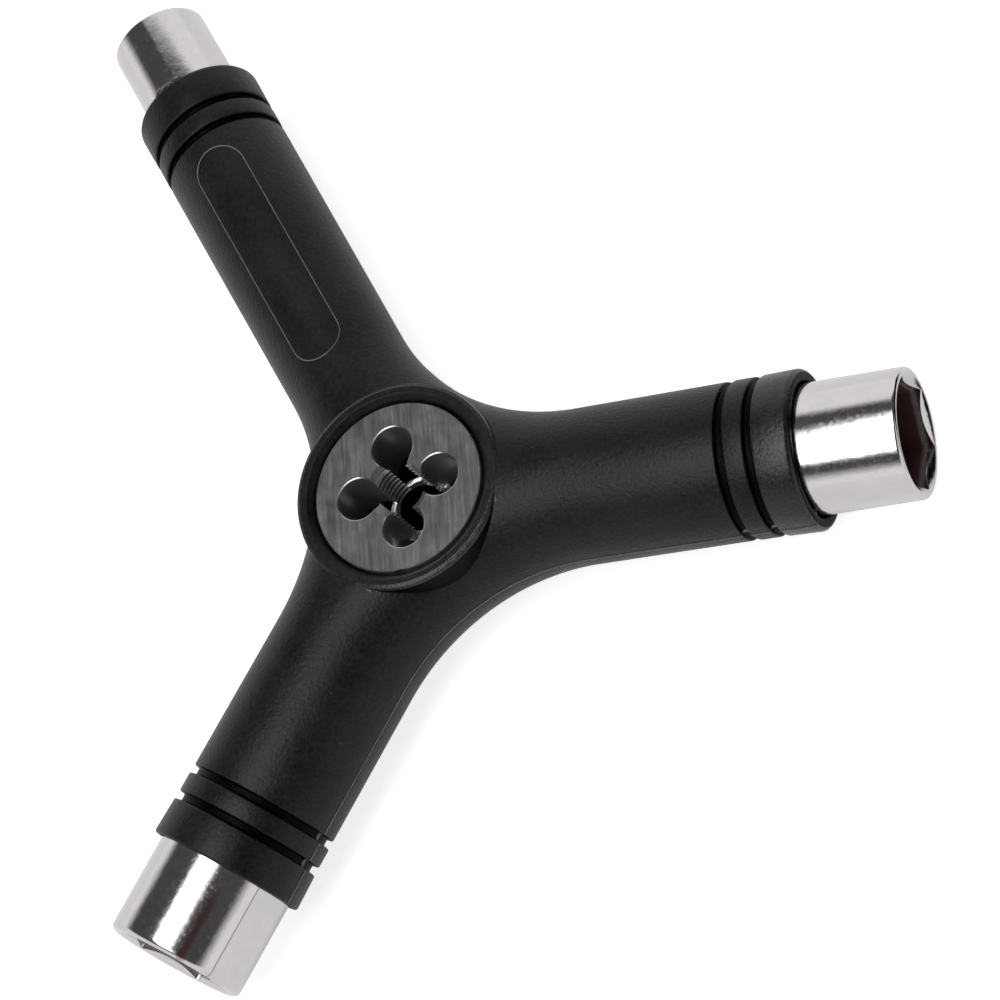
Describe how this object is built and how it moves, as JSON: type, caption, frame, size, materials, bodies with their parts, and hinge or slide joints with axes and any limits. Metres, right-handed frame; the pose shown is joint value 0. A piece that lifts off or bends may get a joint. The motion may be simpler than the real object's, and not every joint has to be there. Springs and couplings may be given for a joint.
{
  "type": "y wrench",
  "caption": "Hand wrench with a moulded Y-shaped handle, a steel hex socket at each arm's end and a round thread-cutting die in the hub.",
  "frame": {"origin": "middle of the footprint, on the surface the wrench rests on", "axes": "+Z along the hub axis towards the die's face, +X out along the nine-sixteenths-inch arm, +Y level and at right angles to it"},
  "size_m": [0.1245, 0.1556, 0.023],
  "materials": {
    "moulded_black_plastic": "matte, finely mottled",
    "nine_sixteenths_inch_chrome": "bright chrome plate",
    "seven_sixteenths_inch_chrome": "bright chrome plate",
    "five_eighths_inch_chrome": "bright chrome plate",
    "ground_steel": "surface ground"
  },
  "bodies": {
    "root": {"handle_body": "moulded_black_plastic", "nine_sixteenths_inch_socket": "nine_sixteenths_inch_chrome", "seven_sixteenths_inch_socket": "seven_sixteenths_inch_chrome", "five_eighths_inch_socket": "five_eighths_inch_chrome", "threading_die": "ground_steel"}
  },
  "joints": []
}
